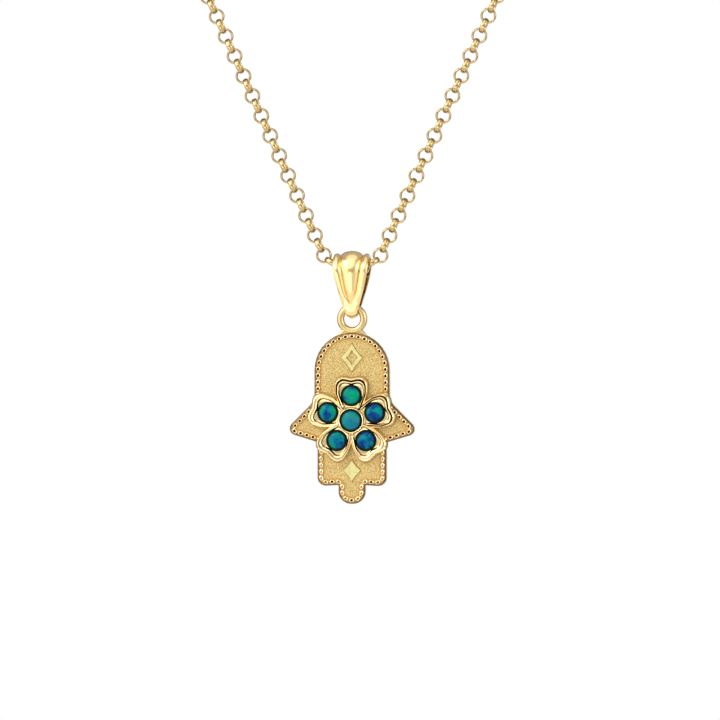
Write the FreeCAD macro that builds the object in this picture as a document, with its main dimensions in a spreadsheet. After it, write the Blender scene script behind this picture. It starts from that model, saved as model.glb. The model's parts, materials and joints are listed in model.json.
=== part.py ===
"""Hamsa pendant in yellow gold with six opals, on its bail and belcher chain, in millimetres.

The frame is +Z up. The chain is a whole loop that hangs from the nape, where the origin is, and the
pendant hangs at its front, which faces -Y.
"""

import FreeCAD
import Part
import math
import os
from FreeCAD import Placement, Rotation, Vector

# Driving sizes: name, value, meaning
SIZES = [
    ("front_y", -88.0, "plane of the pendant and of the chain's V, in front of the nape"),
    ("drop", 128.0, "height of the nape above the middle of the chain inside the bail"),
    ("hinge_drop", 4.9, "from the chain inside the bail down to the wire of the loop"),
    ("flower_drop", 14.04, "from the wire of the loop down to the middle of the flower"),
    ("plate_back", 0.69, "back of the plate behind the loop's plane"),
    ("plate_thick", 1.15, "plate at its lip"),
    ("lip", 0.22, "plain lip round the plate"),
    ("tray_deep", 0.2, "field below the lip"),
    ("bead_inset", 0.56, "centres of the beads inside the plate's edge"),
    ("bead_radius", 0.27, "beads of the border"),
    ("bead_pitch", 0.8, "beads of the border, centre to centre"),
    ("diamond_high", 0.22, "diamonds above the field"),
    ("petal_high", 1.0, "petals above the field"),
    ("petal_floor", 0.45, "hollow of a petal below its rim"),
    ("seat_deep", 0.72, "seat of a petal stone below the rim"),
    ("seat_radius", 1.3, "seat of a petal stone"),
    ("stone_out", 3.1, "middle of a petal stone from the middle of the flower"),
    ("stone_radius", 1.12, "petal stone"),
    ("stone_side", 0.3, "straight side of a petal stone"),
    ("stone_dome", 0.42, "dome of a petal stone"),
    ("bezel_radius", 1.6, "middle bezel"),
    ("bezel_high", 1.1, "middle bezel above the field"),
    ("middle_seat", 1.3, "radius of the middle seat"),
    ("middle_deep", 0.6, "middle seat below the bezel's rim"),
    ("middle_radius", 1.22, "middle stone"),
    ("middle_side", 0.4, "straight side of the middle stone"),
    ("middle_dome", 0.45, "dome of the middle stone"),
    ("stone_gap", 0.05, "stone above the floor of its seat"),
    ("loop_radius", 1.45, "wire circle of the loop on top of the plate"),
    ("loop_wire", 0.45, "radius of the loop's wire"),
    ("foot_half", 1.75, "half width of the loop's foot"),
    ("foot_high", 0.42, "foot above the top of the plate"),
    ("foot_deep", 1.0, "foot below the top of the plate"),
    ("foot_slope", 0.7, "sloping shoulder of the foot, across"),
    ("foot_thick", 0.8, "foot, front to back"),
    ("arch_radius", 1.55, "inside of the bail round the chain"),
    ("arch_below", 0.27, "middle of that arch below the chain"),
    ("bend_radius", 0.8, "inside of the bail round the loop"),
    ("bail_wall", 0.33, "wall of the bail at its valleys"),
    ("link_radius", 1.0, "outside of a chain link"),
    ("link_wire", 0.12, "half of a link's wire, across the ring"),
    ("link_band", 0.28, "half of a link's wire, along its axis"),
    ("link_pitch", 1.39, "from link to link"),
    ("tube_radius", 0.95, "chain round the neck"),
    ("tube_gap", 0.15, "gap at each end of the chain round the neck"),
    ("clasp_radius", 2.6, "wire circle of the clasp"),
    ("clasp_wire", 0.7, "radius of the clasp's wire"),
    ("eye_radius", 0.72, "wire circle of each eye of the clasp"),
    ("eye_wire", 0.2, "radius of an eye's wire"),
    ("eye_out", 3.9, "middle of an eye from the middle of the clasp"),
]

# Corners of the hand's outline from the top to the lowest fingertip, right half, from the flower
# Columns: x, z, radius
HAND = [
    (4.70, 10.93, 4.70),
    (4.72, 2.39, 2.30),
    (8.58, -1.47, 0.85),
    (4.33, -2.77, 0.35),
    (4.33, -8.24, 1.05),
    (1.68, -8.10, 0.12),
    (1.71, -10.42, 1.55),
]

# Corners of a petal's outline, right half, from the bezel outwards
# Columns: across, out, radius
PETAL = [
    (1.30, 1.10, 0.0),
    (2.10, 3.35, 2.2),
    (2.10, 5.70, 1.08),
    (0.0, 5.25, 0.25),
]

# Corners of the hollow inside a petal's rim, right half
# Columns: across, out, radius
HOLLOW = [
    (0.78, 1.66, 0.15),
    (1.50, 3.20, 1.5),
    (1.48, 4.95, 0.65),
    (0.0, 4.60, 0.2),
]

# Diamonds: height from the middle of the flower, half width, half height
UPPER_DIAMOND = (7.83, 1.28, 1.60)
UPPER_WINDOW = (7.83, 0.72, 0.92)
LOWER_DIAMOND = (-6.25, 1.08, 1.36)
DIAMOND_BOW = 0.04

# Bail from the top of its arch down its front to the lowest point of its bend
# Columns: place, angle from the top or share of the wall, half width, half width of the middle rib,
# rise of the middle rib, rise of the side ribs
BAIL = [
    ("arch", 0.0, 2.15, 1.25, 0.62, 0.34),
    ("arch", 25.0, 2.18, 1.24, 0.62, 0.34),
    ("arch", 50.0, 2.20, 1.20, 0.60, 0.34),
    ("arch", 75.0, 2.18, 1.14, 0.55, 0.32),
    ("wall", 0.0, 2.08, 1.02, 0.48, 0.30),
    ("wall", 0.3, 1.80, 0.84, 0.42, 0.27),
    ("wall", 0.6, 1.45, 0.62, 0.34, 0.22),
    ("wall", 0.85, 1.12, 0.36, 0.14, 0.12),
    ("wall", 1.0, 0.82, 0.26, 0.05, 0.06),
    ("bend", 125.0, 0.58, 0.20, 0.05, 0.05),
    ("bend", 152.0, 0.50, 0.17, 0.05, 0.05),
    ("bend", 180.0, 0.46, 0.15, 0.05, 0.05),
]

# Middles of the links inside the bail and out to the first of the straight V, right half
# Columns: x, z
BAIL_LINKS = [(0.0, -0.03), (1.297, 0.152), (2.512, 0.643), (3.505, 1.485)]
V_SLOPE = 24.4
V_LINKS = 29

# Route of the chain round the neck, right half, after the straight V
# Columns: x, y, z
NECK = [
    (28.36, -88.0, -72.0),
    (46.0, -80.0, -44.0),
    (57.0, -60.0, -24.0),
    (57.0, -35.0, -10.0),
    (44.0, -13.5, -3.0),
    (22.5, -2.0, 0.0),
]

doc = FreeCAD.newDocument("hamsa_pendant")
sheet = doc.addObject("Spreadsheet::Sheet", "Sizes")
for line, (alias, value, meaning) in enumerate(SIZES, start=1):
    sheet.set(f"A{line}", alias)
    sheet.set(f"B{line}", str(value))
    sheet.set(f"C{line}", meaning)
    sheet.setAlias(f"B{line}", alias)
doc.recompute()

NAMES = {alias for alias, _, _ in SIZES}
FACING = Rotation(Vector(1, 0, 0), 90)


def size(alias):
    return float(getattr(sheet, alias))


def bind(thing, prop, formula):
    """Bind a property to the sheet, where each name of a size stands for its cell."""
    words = [w if w not in NAMES else f"Sizes.{w}" for w in formula.split()]
    thing.setExpression(prop, " ".join(words))


# Outlines

def rounded(corners, inset=0.0):
    """Lines and tangent arcs of a closed clockwise outline, drawn in by inset.

    Each corner is x, y and its radius.
    """
    starts, ends, arcs = [], [], []
    count = len(corners)
    for i, (x, y, radius) in enumerate(corners):
        here = Vector(x, y, 0)
        back = Vector(*corners[i - 1][:2], 0) - here
        ahead = Vector(*corners[(i + 1) % count][:2], 0) - here
        back.normalize()
        ahead.normalize()
        half = back.getAngle(ahead) / 2
        inward = back + ahead
        inward.normalize()
        side = 1 if back.cross(ahead).z > 0 else -1
        here = here + inward * (side * inset / math.sin(half))
        radius = max(radius - side * inset, 0.0)
        reach = radius / math.tan(half)
        first = here + back * reach
        last = here + ahead * reach
        middle = here + inward * (radius / math.sin(half) - radius)
        starts.append(first)
        ends.append(last)
        arcs.append(Part.Arc(first, middle, last) if radius > 0 else None)
    pieces = []
    for i in range(count):
        if arcs[i]:
            pieces.append(arcs[i])
        begin, finish = ends[i], starts[(i + 1) % count]
        if begin.distanceToPoint(finish) > 1e-6:
            pieces.append(Part.LineSegment(begin, finish))
    return pieces


def both_halves(right):
    """Corners of a whole outline, from those of its right half."""
    left = [(-x, y, radius) for x, y, radius in reversed(right) if x > 0]
    return right + left


def pinched(middle, half_wide, half_high):
    """A diamond whose four sides curve in."""
    tips = [Vector(half_wide, 0, 0), Vector(0, half_high, 0)]
    tips += [tip * -1 for tip in tips]
    centre = Vector(0, middle, 0)
    sides = []
    for here, there in zip(tips, tips[1:] + tips[:1]):
        waist = (here + there) * (0.5 - DIAMOND_BOW)
        sides.append(Part.Arc(centre + here, centre + waist, centre + there))
    return sides


# Hand: one casting with its border, diamonds, flower setting and loop

hand = doc.addObject("PartDesign::Body", "hand_body")


def plane_of(body, role):
    return next(f for f in body.Origin.OriginFeatures if f.Role == role)


def sketch_on_front(name, height, shapes):
    """A sketch that faces the front, at a height in front of the loop's plane."""
    sketch = hand.newObject("Sketcher::SketchObject", name)
    sketch.AttachmentSupport = [(plane_of(hand, "XZ_Plane"), "")]
    sketch.MapMode = "FlatFace"
    bind(sketch, ".AttachmentOffset.Base.z", height)
    for shape in shapes:
        sketch.addGeometry(shape, False)
    return sketch


def feature(kind, name, sketch, length):
    made = hand.newObject(f"PartDesign::{kind}", name)
    made.Profile = sketch
    bind(made, "Length", length)
    doc.recompute()
    return made


def five_times(name, original):
    pattern = hand.newObject("PartDesign::PolarPattern", name)
    pattern.Originals = [original]
    pattern.Axis = (plane_of(hand, "Y_Axis"), [""])
    pattern.Angle = 360
    pattern.Occurrences = 5
    hand.Tip = pattern
    doc.recompute()
    return pattern


def circle(out, radius):
    return [Part.Circle(Vector(0, out, 0), Vector(0, 0, 1), radius)]


FIELD = "plate_thick - plate_back - tray_deep"

outline = sketch_on_front("hand_outline", "0 - plate_back", rounded(both_halves(HAND)))
feature("Pad", "plate", outline, "plate_thick")
hand_top = HAND[0][1]
foot_top = hand_top + size("foot_high")
foot_corners = [
    (size("foot_half") - size("foot_slope"), foot_top, 0),
    (size("foot_half"), foot_top - size("foot_slope") / 2, size("foot_slope") / 3),
    (size("foot_half"), hand_top - size("foot_deep"), 0),
]
foot_sketch = sketch_on_front(
    "foot_outline", "0 - foot_thick / 2", rounded(both_halves(foot_corners))
)
feature("Pad", "foot", foot_sketch, "foot_thick")

tray = sketch_on_front(
    "tray_outline", "plate_thick - plate_back", rounded(both_halves(HAND), size("lip"))
)
feature("Pocket", "tray", tray, "tray_deep")

frame_shape = pinched(*UPPER_DIAMOND) + pinched(*UPPER_WINDOW)
upper_sketch = sketch_on_front("upper_diamond_shape", FIELD, frame_shape)
feature("Pad", "upper_diamond", upper_sketch, "diamond_high")
lower_sketch = sketch_on_front("lower_diamond_shape", FIELD, pinched(*LOWER_DIAMOND))
feature("Pad", "lower_diamond", lower_sketch, "diamond_high")

petal_sketch = sketch_on_front("petal_outline", FIELD, rounded(both_halves(PETAL)))
five_times("petals", feature("Pad", "petal", petal_sketch, "petal_high"))
bezel_sketch = sketch_on_front("bezel_outline", FIELD, circle(0, size("bezel_radius")))
feature("Pad", "bezel", bezel_sketch, "bezel_high")
hollow_sketch = sketch_on_front(
    "hollow_outline", FIELD + " + petal_high", rounded(both_halves(HOLLOW))
)
five_times("hollows", feature("Pocket", "hollow", hollow_sketch, "petal_floor"))
seat_sketch = sketch_on_front(
    "seat_outline", FIELD + " + petal_high", circle(size("stone_out"), size("seat_radius"))
)
five_times("seats", feature("Pocket", "seat", seat_sketch, "seat_deep"))
middle_sketch = sketch_on_front(
    "middle_seat_outline", FIELD + " + bezel_high", circle(0, size("middle_seat"))
)
feature("Pocket", "middle_seat_cut", middle_sketch, "middle_deep")


def along(pieces, pitch):
    """Points spaced evenly along a closed outline, about a pitch apart."""
    wire = Part.Wire(Part.sortEdges([piece.toShape() for piece in pieces])[0])
    count = round(wire.Length / pitch)
    return wire.discretize(Number=count + 1)[:-1]


field_y = size("plate_back") - size("plate_thick") + size("tray_deep")
bead_places = along(rounded(both_halves(HAND), size("bead_inset")), size("bead_pitch"))
beads = doc.addObject("Part::Feature", "beads")
beads.Shape = Part.Compound(
    [Part.makeSphere(size("bead_radius"), Vector(p.x, field_y, p.y)) for p in bead_places]
)

loop = doc.addObject("Part::Torus", "loop")
bind(loop, "Radius1", "loop_radius")
bind(loop, "Radius2", "loop_wire")
loop.Placement.Rotation = FACING
bind(loop, ".Placement.Base.z", "flower_drop - loop_radius")

hamsa = doc.addObject("Part::MultiFuse", "hamsa")
hamsa.Shapes = [hand, beads, loop]
bind(hamsa, ".Placement.Base.y", "front_y")
bind(hamsa, ".Placement.Base.z", "0 - drop - hinge_drop - flower_drop")
doc.recompute()


# Stones: round cabochons, each a solid of its own

def cabochon(name, radius, side, dome, across, out, seat_floor):
    """A cabochon: a low cylinder under a ball's cap, its base set just above the floor of its seat."""
    body = doc.addObject("PartDesign::Body", name)
    profile = body.newObject("Sketcher::SketchObject", name + "_profile")
    profile.AttachmentSupport = [(plane_of(body, "YZ_Plane"), "")]
    profile.MapMode = "FlatFace"
    wide, straight, high = size(radius), size(side), size(side) + size(dome)
    ball = (wide**2 + size(dome)**2) / (2 * size(dome))
    half_way = math.asin(wide / ball) / 2
    shoulder = Vector(wide, straight, 0)
    bulge = Vector(ball * math.sin(half_way), high - ball + ball * math.cos(half_way), 0)
    for shape in (
        Part.LineSegment(Vector(0, 0, 0), Vector(wide, 0, 0)),
        Part.LineSegment(Vector(wide, 0, 0), shoulder),
        Part.Arc(shoulder, bulge, Vector(0, high, 0)),
        Part.LineSegment(Vector(0, high, 0), Vector(0, 0, 0)),
    ):
        profile.addGeometry(shape, False)
    turned = body.newObject("PartDesign::Revolution", name + "_turned")
    turned.Profile = profile
    turned.ReferenceAxis = (profile, ["V_Axis"])
    turned.Angle = 360
    body.Placement.Rotation = FACING
    body.Placement.Base.x = across
    bind(body, ".Placement.Base.y", f"front_y - ( {seat_floor} + stone_gap )")
    bind(body, ".Placement.Base.z", f"0 - drop - hinge_drop - flower_drop + {out}")
    return body


nodes = {"hamsa": hamsa}
petal_floor = FIELD + " + petal_high - seat_deep"
for number in range(5):
    turn = math.radians(72 * number)
    nodes[f"petal_stone_{number + 1}"] = cabochon(
        f"petal_stone_{number + 1}",
        "stone_radius",
        "stone_side",
        "stone_dome",
        -size("stone_out") * math.sin(turn),
        size("stone_out") * math.cos(turn),
        petal_floor,
    )
nodes["middle_stone"] = cabochon(
    "middle_stone",
    "middle_radius",
    "middle_side",
    "middle_dome",
    0,
    0,
    FIELD + " + bezel_high - middle_deep",
)


# Bail: one fluted band, folded round the chain and through the loop

def bail_station(place, where):
    """Height and depth of a point on the inside of the bail's front, and the way out from it."""
    arch, bend = size("arch_radius"), size("bend_radius")
    arch_z, bend_z = -size("arch_below"), -size("hinge_drop")
    lean = 90 + math.degrees(math.asin((arch - bend) / (arch_z - bend_z)))
    angle = math.radians(lean if place == "wall" else where)
    out = Vector(0, -math.sin(angle), math.cos(angle))
    on_arch = Vector(0, 0, arch_z) + out * arch
    on_bend = Vector(0, 0, bend_z) + out * bend
    if place == "wall":
        return on_arch + (on_bend - on_arch) * where, out
    return (on_arch if place == "arch" else on_bend), out


def bail_section(row, to_back):
    """Outline of the band at one place: flat inside, three ribs outside, the ribs fading to the back."""
    place, where, half, valley, middle, side = row
    point, out = bail_station(place, where)
    if to_back:
        point, out = Vector(0, -point.y, point.z), Vector(0, -out.y, out.z)
        fade = 1 - 0.5 * min(where / 75, 1) if place == "arch" else 0.5
        middle, side = middle * fade, side * fade
    wall = size("bail_wall")
    rises = [
        (0.0, wall + middle),
        (valley * 0.5, wall + middle * 0.8),
        (valley, wall),
        (valley + (half - valley) * 0.4, wall + side),
        (valley + (half - valley) * 0.75, wall + side),
        (half, wall),
        (half, 0.0),
    ]
    right = [point + Vector(x, 0, 0) + out * rise for x, rise in rises]
    left = [point + Vector(-x, 0, 0) + out * rise for x, rise in reversed(rises[1:])]
    return Part.makePolygon(right + left + right[:1])


front_rows = [(row, False) for row in BAIL]
back_rows = [(row, True) for row in reversed(BAIL[1:-1])]
bail_rings = [bail_section(row, to_back) for row, to_back in front_rows + back_rows]
bail = doc.addObject("Part::Feature", "bail")
bail.Shape = Part.makeLoft(bail_rings, True, True, True)
bail.Placement = Placement(Vector(0, size("front_y"), -size("drop")), Rotation())
nodes["bail"] = bail


# Chain: links of flattened wire, each turned a quarter to the next

def link(middle, along_chain, flat):
    """A ring link. Its ring lies in the plane of the V when flat, and across it otherwise."""
    wire = Part.Ellipse(Vector(0, 0, 0), size("link_band"), size("link_wire"))
    section = Part.Face(Part.Wire(wire.toShape()))
    section.rotate(Vector(0, 0, 0), Vector(0, 1, 0), 90)
    section.translate(Vector(0, size("link_radius") - size("link_wire"), 0))
    ring = section.revolve(Vector(0, 0, 0), Vector(0, 0, 1), 360)
    across = Vector(0, 1, 0) if flat else along_chain.cross(Vector(0, 1, 0))
    ring.Placement = Placement(middle, Rotation(Vector(0, 0, 1), across))
    return ring


def front_route():
    """Middles of the links of the right half, from the bail up the straight V."""
    places = [Vector(x, 0, z) for x, z in BAIL_LINKS]
    rise = Vector(math.sin(math.radians(V_SLOPE)), 0, math.cos(math.radians(V_SLOPE)))
    for _ in range(V_LINKS):
        places.append(places[-1] + rise * size("link_pitch"))
    return places


places = front_route()
whole = [Vector(-p.x, p.y, p.z) for p in reversed(places[1:])] + places
links = []
for number, middle in enumerate(whole):
    before = whole[max(number - 1, 0)]
    after = whole[min(number + 1, len(whole) - 1)]
    heading = after - before
    heading.normalize()
    links.append(link(middle, heading, (number - len(places)) % 2 == 0))
chain = doc.addObject("Part::Feature", "chain_front")
chain.Shape = Part.Compound(links)
chain.Placement = Placement(Vector(0, size("front_y"), -size("drop")), Rotation())
nodes["chain_front"] = chain


# Chain round the neck, where each half is a plain run of the chain's width

def smooth_path(points):
    """A wire of straight runs and tangent arcs, each as large as its two runs allow."""
    edges, here = [], points[0]
    for before, corner, after in zip(points, points[1:], points[2:]):
        back, ahead = before - corner, after - corner
        shorter = min(back.Length, ahead.Length)
        back.normalize()
        ahead.normalize()
        reach = 0.45 * shorter
        half_turn = (math.pi - back.getAngle(ahead)) / 2
        radius = reach / math.tan(half_turn)
        inward = back + ahead
        inward.normalize()
        first, last = corner + back * reach, corner + ahead * reach
        middle = corner + inward * (radius / math.cos(half_turn) - radius)
        edges.append(Part.LineSegment(here, first).toShape())
        edges.append(Part.Arc(first, middle, last).toShape())
        print(f"radius {radius:.1f}")
        here = last
    edges.append(Part.LineSegment(here, points[-1]).toShape())
    return Part.Wire(edges)


def tube(path, radius):
    start = path.Edges[0]
    facing = start.tangentAt(start.FirstParameter)
    section = Part.Wire(Part.Circle(start.Vertexes[0].Point, facing, radius).toShape())
    made = path.makePipeShell([section], True, False)
    expected = math.pi * radius**2 * path.Length
    print(f"run {path.Length:.1f} mm, volume {made.Volume:.1f}, expected {expected:.1f}")
    return made


last_link = whole[-1] + Vector(0, size("front_y"), -size("drop"))
up_the_v = whole[-1] - whole[-2]
up_the_v.normalize()
start = last_link + up_the_v * (size("link_radius") + size("tube_gap"))
end = Vector(size("eye_out") + size("eye_radius") + size("eye_wire") + size("tube_gap"), 0, 0)
neck = [start] + [Vector(*row) for row in NECK] + [end]
for side, sign in (("right", 1), ("left", -1)):
    route = [Vector(sign * p.x, p.y, p.z) for p in neck]
    run = doc.addObject("Part::Feature", "chain_" + side)
    run.Shape = tube(smooth_path(route), size("tube_radius"))
    nodes["chain_" + side] = run


# Clasp: a plain closed ring with an eye for the chain on each side

clasp_ring = doc.addObject("Part::Torus", "clasp_ring")
bind(clasp_ring, "Radius1", "clasp_radius")
bind(clasp_ring, "Radius2", "clasp_wire")
clasp_ring.Placement.Rotation = FACING
clasp = doc.addObject("Part::MultiFuse", "clasp")
clasp.Shapes = [clasp_ring]
for sign in (-1, 1):
    eye = doc.addObject("Part::Torus", "clasp_eye")
    bind(eye, "Radius1", "eye_radius")
    bind(eye, "Radius2", "eye_wire")
    eye.Placement.Rotation = FACING
    bind(eye, ".Placement.Base.x", f"eye_out * ( {sign} )")
    clasp.Shapes = clasp.Shapes + [eye]
nodes["clasp"] = clasp

doc.recompute()
for thing in doc.Objects:
    if "Invalid" in thing.State or "Error" in thing.State:
        raise SystemExit(f"{thing.Name} failed: {thing.State}")
os.makedirs("parts", exist_ok=True)
for name, thing in nodes.items():
    if thing.Shape.isNull() or not thing.Shape.isValid():
        raise SystemExit(f"{name} has no valid shape")
    thing.Label = name
    thing.Shape.exportStep(f"parts/{name}.step")
    middle = thing.Shape.CenterOfGravity
    print(f"{name}: {len(thing.Shape.Solids)} solids, {thing.Shape.Volume:.2f} mm3, middle {middle}")
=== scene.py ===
"""Looks of the hamsa pendant: yellow gold, sandblasted and polished, six opals, bail and belcher chain."""

import json
import math
import bmesh
import bpy
import numpy as np
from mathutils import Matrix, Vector


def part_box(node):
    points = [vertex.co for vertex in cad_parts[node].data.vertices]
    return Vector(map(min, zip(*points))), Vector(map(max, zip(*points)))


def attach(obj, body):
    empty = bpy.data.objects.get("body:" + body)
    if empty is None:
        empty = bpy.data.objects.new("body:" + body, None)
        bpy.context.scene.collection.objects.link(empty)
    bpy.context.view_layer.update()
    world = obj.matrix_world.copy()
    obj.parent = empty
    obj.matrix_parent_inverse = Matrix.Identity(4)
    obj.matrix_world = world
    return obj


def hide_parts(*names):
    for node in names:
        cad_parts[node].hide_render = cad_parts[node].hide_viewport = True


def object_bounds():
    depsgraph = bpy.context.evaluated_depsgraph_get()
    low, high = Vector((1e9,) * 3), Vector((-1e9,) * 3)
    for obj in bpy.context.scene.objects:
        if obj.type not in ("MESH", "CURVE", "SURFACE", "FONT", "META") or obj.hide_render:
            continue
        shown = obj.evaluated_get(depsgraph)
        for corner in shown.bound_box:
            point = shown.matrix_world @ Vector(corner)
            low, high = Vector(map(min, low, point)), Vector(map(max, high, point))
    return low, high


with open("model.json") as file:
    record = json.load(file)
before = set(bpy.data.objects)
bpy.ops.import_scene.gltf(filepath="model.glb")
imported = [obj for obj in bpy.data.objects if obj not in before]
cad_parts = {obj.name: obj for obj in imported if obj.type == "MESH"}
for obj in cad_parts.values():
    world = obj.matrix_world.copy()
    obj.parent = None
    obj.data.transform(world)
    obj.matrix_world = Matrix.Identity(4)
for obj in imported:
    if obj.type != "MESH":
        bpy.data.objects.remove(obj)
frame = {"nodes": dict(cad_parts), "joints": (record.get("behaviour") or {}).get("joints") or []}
cad_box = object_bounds()


# Hand
# One lost-wax casting in 14 carat yellow gold: a flat plate with a plain polished lip round a field
# that is sunk a little and sandblasted to an even grain. The back is left smooth.

MM = 0.001
joints = {joint["name"]: Vector(joint["pos_m"]) / MM for joint in frame["joints"]}
chain_middle = joints["bail_swing"]
loop_wire_middle = joints["pendant_swing"]
stone_low, stone_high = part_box("middle_stone")
flower_z = (stone_low.z + stone_high.z) / 2 / MM
plate_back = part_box("hamsa")[1].y / MM
PLATE_THICK = 1.15
FIELD_DEEP = 0.20
lip_front = plate_back - PLATE_THICK
field_front = lip_front + FIELD_DEEP
HAND_CRISP = 40

# Two lengths that differ by less than this count as the same, and two points nearer than this are one
NEAR = 0.01
WELD = 0.0005

# A face looks to the front when the Y of its normal is below this
FACES_FRONT = -0.9

# Corners of the hand from the top to the lowest fingertip, right half, from the flower's middle
# Columns: across, up, radius
HAND_CORNERS = [
    (4.70, 10.93, 4.70),
    (4.72, 2.39, 2.30),
    (8.58, -1.47, 0.85),
    (4.33, -2.77, 0.35),
    (4.33, -8.24, 1.05),
    (1.68, -8.10, 0.12),
    (1.71, -10.42, 1.55),
]

# The plate's skin from the middle of its back round its edge to its field
# Columns: drawn in from the edge, in front of the plate's back, painted shade at the field's edge and
# painted dark reflection on the lip's polish
PLATE_SKIN = [
    (0.90, 0.00, 0.0, 0.0),
    (0.12, 0.00, 0.0, 0.0),
    (0.04, 0.03, 0.0, 0.0),
    (0.00, 0.11, 0.0, 0.0),
    (0.00, 0.80, 0.0, 0.1),
    (0.01, 0.91, 0.0, 0.5),
    (0.04, 1.01, 0.0, 0.8),
    (0.09, 1.09, 0.0, 0.9),
    (0.14, 1.14, 0.0, 0.88),
    (0.18, 1.15, 0.0, 0.8),
    (0.21, 1.11, 0.0, 0.5),
    (0.23, 1.04, 0.2, 0.0),
    (0.24, 0.95, 0.5, 0.0),
    (0.68, 0.95, 0.4, 0.0),
    (0.78, 0.95, 0.9, 0.0),
    (0.84, 0.95, 0.5, 0.0),
    (0.98, 0.95, 0.0, 0.0),
]

# Colours of polished gold at its deepest and palest, and of the painted dark reflections in its polish
DEEP_GOLD = (0.86, 0.61, 0.26)
PALE_GOLD = (0.91, 0.68, 0.32)
PAINTED_REFLECTION_COLOUR = (0.012, 0.008, 0.003)

# Grains to the metre of its tone, of its buffing and of its waves, and the depth of the waves
TONE_GRAIN = 420.0
BUFF_GRAIN = 2600.0
WAVE_GRAIN = 1500.0
WAVE_DEEP = 0.006

# The blasted field: its colours, each with its place in the noise, the colour of its painted edge shade,
# grain, depth and roughness
BLAST_TONES = [(0.37, (0.28, 0.19, 0.060)), (0.63, (0.61, 0.455, 0.195))]
BLAST_PAINTED_SHADE = (0.38, 0.20, 0.05)
BLAST_GRAIN = 6200.0
BLAST_DETAIL = 4.0
BLAST_COARSE = 0.75
BLAST_DEEP = 0.06
BLAST_ROUGH = (0.42, 0.55)
SATIN_GRAIN = 3000.0

# Most of a noise lies between these
NOISE_RANGE = (0.3, 0.7)


def mirrored(right):
    """Corners of a whole outline, from those of its right half."""
    left = [(-x, z, radius) for x, z, radius in reversed(right) if x > 0]
    return right + left


def outline(corners, inset=0.0, steps=10, between=1):
    """Points round an outline of straight sides and round corners, drawn in by inset.

    Between is how many equal parts each straight side is in.
    """
    arcs = []
    count = len(corners)
    area = sum(corners[i - 1][0] * corners[i][1] - corners[i][0] * corners[i - 1][1] for i in range(count))
    if area > 0:
        corners = corners[::-1]
    for i, (x, z, radius) in enumerate(corners):
        here = Vector((x, z))
        back = (Vector(corners[i - 1][:2]) - here).normalized()
        ahead = (Vector(corners[(i + 1) % count][:2]) - here).normalized()
        half = back.angle(ahead) / 2
        inward = (back + ahead).normalized()
        side = 1 if back.cross(ahead) > 0 else -1
        here = here + inward * (side * inset / math.sin(half))
        radius = max(radius - side * inset, 0.001)
        centre = here + inward * (radius / math.sin(half))
        arc = []
        for step in range(steps + 1):
            swing = side * (0.5 - step / steps) * (math.pi - 2 * half)
            c, s = math.cos(swing), math.sin(swing)
            out = -inward
            arc.append(centre + Vector((out.x * c - out.y * s, out.x * s + out.y * c)) * radius)
        arcs.append(arc)
    points = []
    for arc, after in zip(arcs, arcs[1:] + arcs[:1]):
        points += arc + [arc[-1].lerp(after[0], part / between) for part in range(1, between)]
    return points


def in_frame(points, y):
    """Points of a drawing round the flower's middle, in metres, at a depth in the frame."""
    return [Vector((p[0], y, p[1] + flower_z)) * MM for p in points]


def placed(name, data):
    """A new object of the scene."""
    thing = bpy.data.objects.new(name, data)
    bpy.context.scene.collection.objects.link(thing)
    return thing


def skinned(name, rings, ring_of_rings=False, marks=None):
    """A closed mesh through rings of as many points each, capped at both ends or joined end to end.

    Marks are names of attributes, each with its value at every point of the rings.
    """
    mesh_maker = bmesh.new()
    for attribute in marks or {}:
        mesh_maker.verts.layers.float.new(attribute)
    loops = [[mesh_maker.verts.new(p) for p in ring] for ring in rings]
    for attribute, values in (marks or {}).items():
        layer = mesh_maker.verts.layers.float[attribute]
        for vertex, value in zip([v for loop in loops for v in loop], values):
            vertex[layer] = value
    if ring_of_rings:
        loops.append(loops[0])
    for here, there in zip(loops, loops[1:]):
        for i in range(len(here)):
            j = (i + 1) % len(here)
            mesh_maker.faces.new((here[i], here[j], there[j], there[i]))
    if not ring_of_rings:
        mesh_maker.faces.new(reversed(loops[0]))
        mesh_maker.faces.new(loops[-1])
    bmesh.ops.remove_doubles(mesh_maker, verts=mesh_maker.verts, dist=WELD * MM)
    bmesh.ops.recalc_face_normals(mesh_maker, faces=mesh_maker.faces)
    mesh = bpy.data.meshes.new(name)
    mesh_maker.to_mesh(mesh)
    mesh_maker.free()
    mesh.shade_smooth()
    return placed(name, mesh)


def crisp(thing, degrees):
    """Keep the edges sharp where two faces turn by more than these degrees."""
    thing.data.set_sharp_from_angle(angle=math.radians(degrees))


def shader(name, **settings):
    """A material with plain settings of its surface shader, and that shader."""
    material = bpy.data.materials.new(name)
    material.use_nodes = True
    surface = material.node_tree.nodes["Principled BSDF"]
    for socket, value in settings.items():
        surface.inputs[socket.replace("_", " ")].default_value = value
    return material, surface


def grain(material, scale, detail=2.0, rough=0.5):
    """A noise over the object's own coordinates. Scale is in grains to the metre."""
    nodes, links = material.node_tree.nodes, material.node_tree.links
    place = nodes.new("ShaderNodeTexCoord")
    noise = nodes.new("ShaderNodeTexNoise")
    noise.inputs["Scale"].default_value = scale
    noise.inputs["Detail"].default_value = detail
    noise.inputs["Roughness"].default_value = rough
    links.new(place.outputs["Object"], noise.inputs["Vector"])
    return noise.outputs["Fac"]


def ramp(material, value, stops):
    """A ramp of colours over a value. Each stop is a place and a colour."""
    node = material.node_tree.nodes.new("ShaderNodeValToRGB")
    while len(node.color_ramp.elements) < len(stops):
        node.color_ramp.elements.new(0.5)
    for element, (place, colour) in zip(node.color_ramp.elements, stops):
        element.position = place
        element.color = (*colour, 1.0)
    material.node_tree.links.new(value, node.inputs["Fac"])
    return node.outputs["Color"]


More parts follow.
